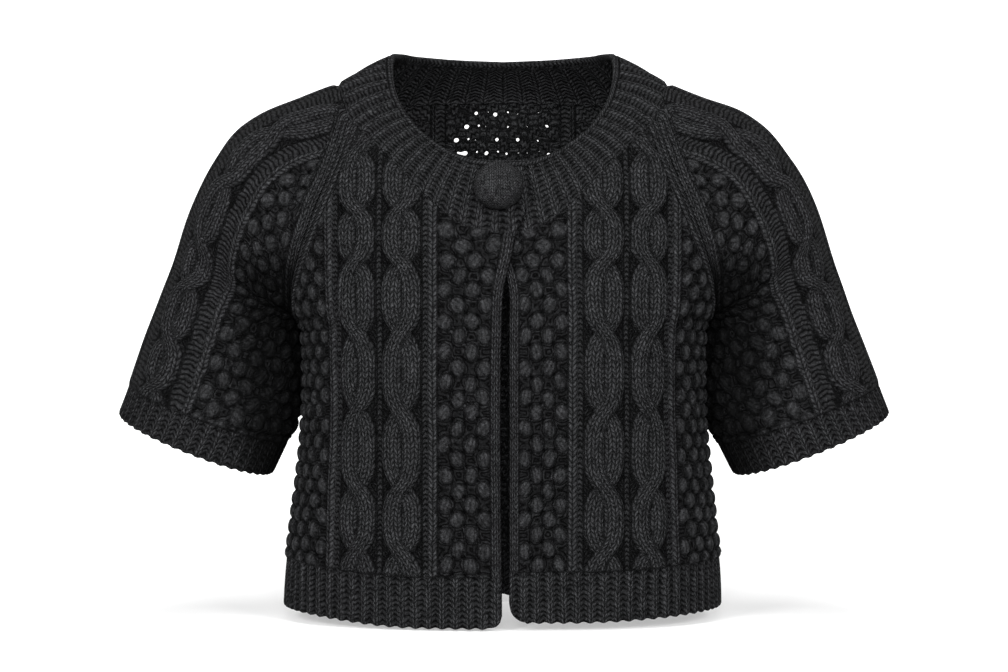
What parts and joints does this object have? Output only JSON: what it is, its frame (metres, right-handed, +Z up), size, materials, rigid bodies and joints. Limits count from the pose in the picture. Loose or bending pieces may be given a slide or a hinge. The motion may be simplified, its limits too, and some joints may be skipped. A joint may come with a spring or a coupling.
{
  "type": "cropped cable-knit cardigan",
  "caption": "Cropped short-sleeved raglan cardigan in chunky knit, with cable and bobble panels, ribbed edges, a deep ribbed neckband and a large covered button.",
  "frame": {"origin": "middle of the neck opening, level with the high points of the shoulders, where the wearer carries the garment", "axes": "+X towards the wearer's left, +Y towards the wearer's back, +Z up"},
  "size_m": [0.5984, 0.2416, 0.4388],
  "materials": {
    "yarn": "matt charcoal wool-blend yarn, loosely plied, slightly fuzzy",
    "button_knit": "fine charcoal knit stretched over a dome"
  },
  "bodies": {
    "root": {"right_front": "yarn", "left_front": "yarn", "back": "yarn", "right_sleeve": "yarn", "left_sleeve": "yarn", "neckband": "yarn", "button": "button_knit"}
  },
  "joints": []
}
